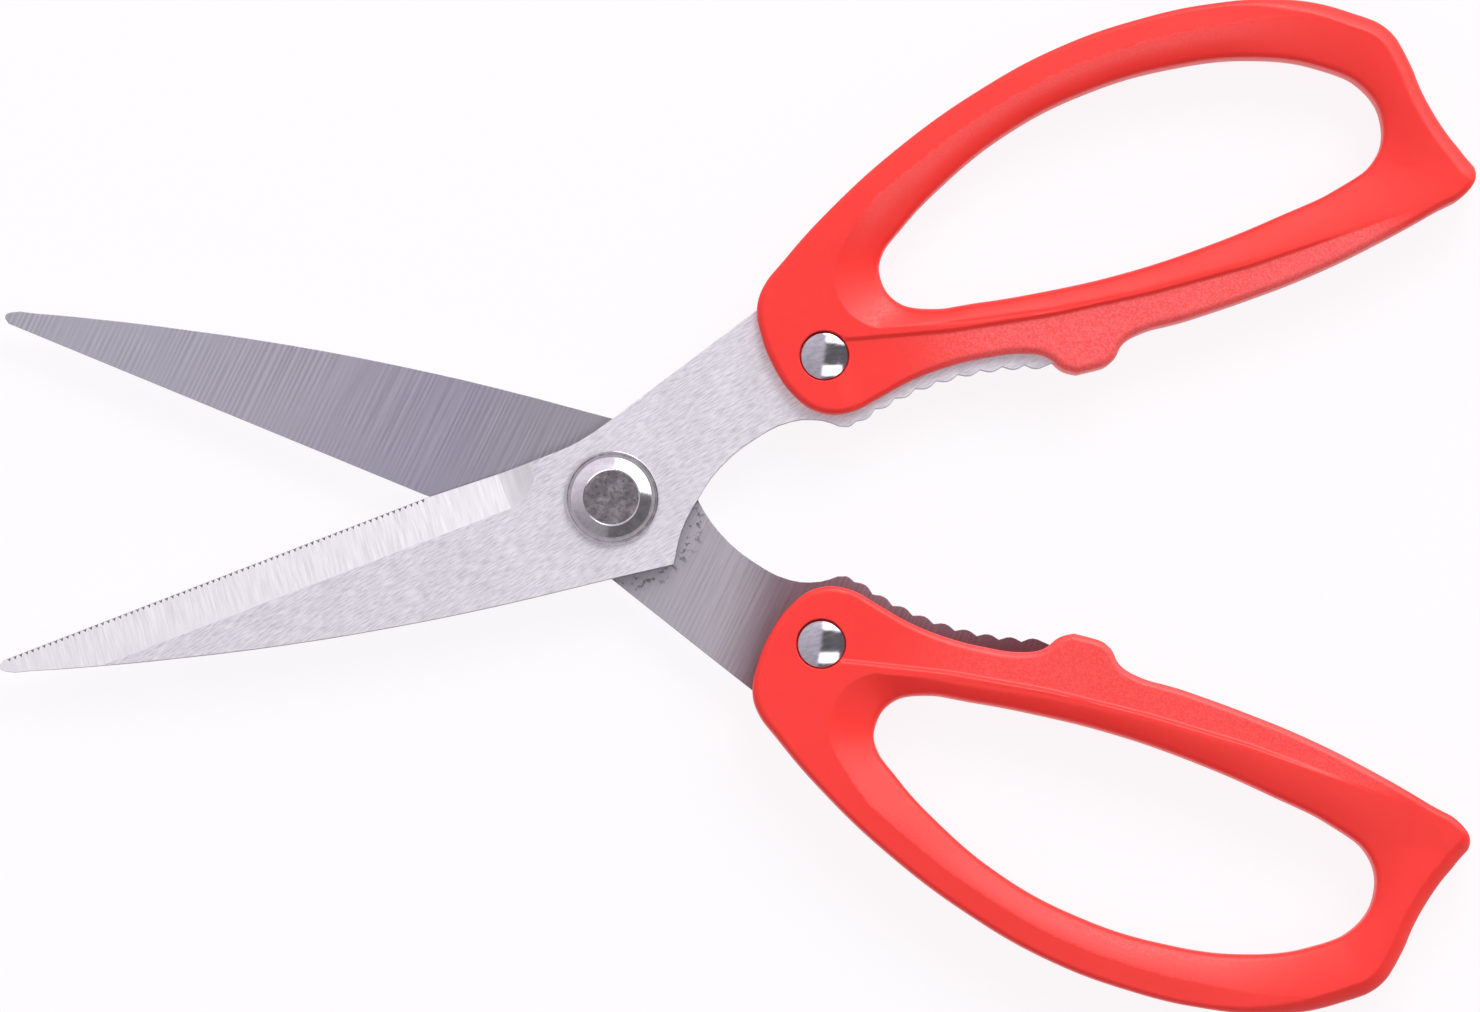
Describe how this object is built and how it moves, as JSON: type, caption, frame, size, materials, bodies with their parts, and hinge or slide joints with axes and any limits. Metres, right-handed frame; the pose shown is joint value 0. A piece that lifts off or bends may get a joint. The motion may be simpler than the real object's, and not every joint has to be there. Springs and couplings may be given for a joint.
{
  "type": "utility scissors",
  "caption": "Utility scissors with steel blades on a headed pivot, riveted plastic finger grips and a toothed gripping jaw between the handles.",
  "frame": {"origin": "pivot axis at the flat of the rear pivot head, in the plane that the scissors lie on", "axes": "+Z along the pivot axis, out of the front face; +X from the pivot towards the grips, midway between the halves; blades towards -X"},
  "size_m": [0.2091, 0.1444, 0.01],
  "materials": {
    "brushed_steel": "ground and sanded stainless steel",
    "bright_steel": "bright polished steel",
    "red_plastic": "satin moulded plastic with a fine spark texture"
  },
  "bodies": {
    "rear_half": {"rear_blade": "brushed_steel", "rear_grip": "red_plastic", "rear_grip_rivet_post": "bright_steel", "rear_grip_rivet_cap": "bright_steel", "pivot_stud": "bright_steel", "front_pivot_washer": "brushed_steel", "rear_pivot_washer": "brushed_steel"},
    "front_half": {"front_blade": "brushed_steel", "front_grip": "red_plastic", "front_grip_rivet_post": "bright_steel", "front_grip_rivet_cap": "bright_steel"}
  },
  "joints": [
    {"name": "blade_pivot", "type": "hinge", "parent": "rear_half", "child": "front_half", "pos_m": [0, 0, 0.005], "axis": [0, 0, 1], "range_deg": [-31, 91]}
  ]
}
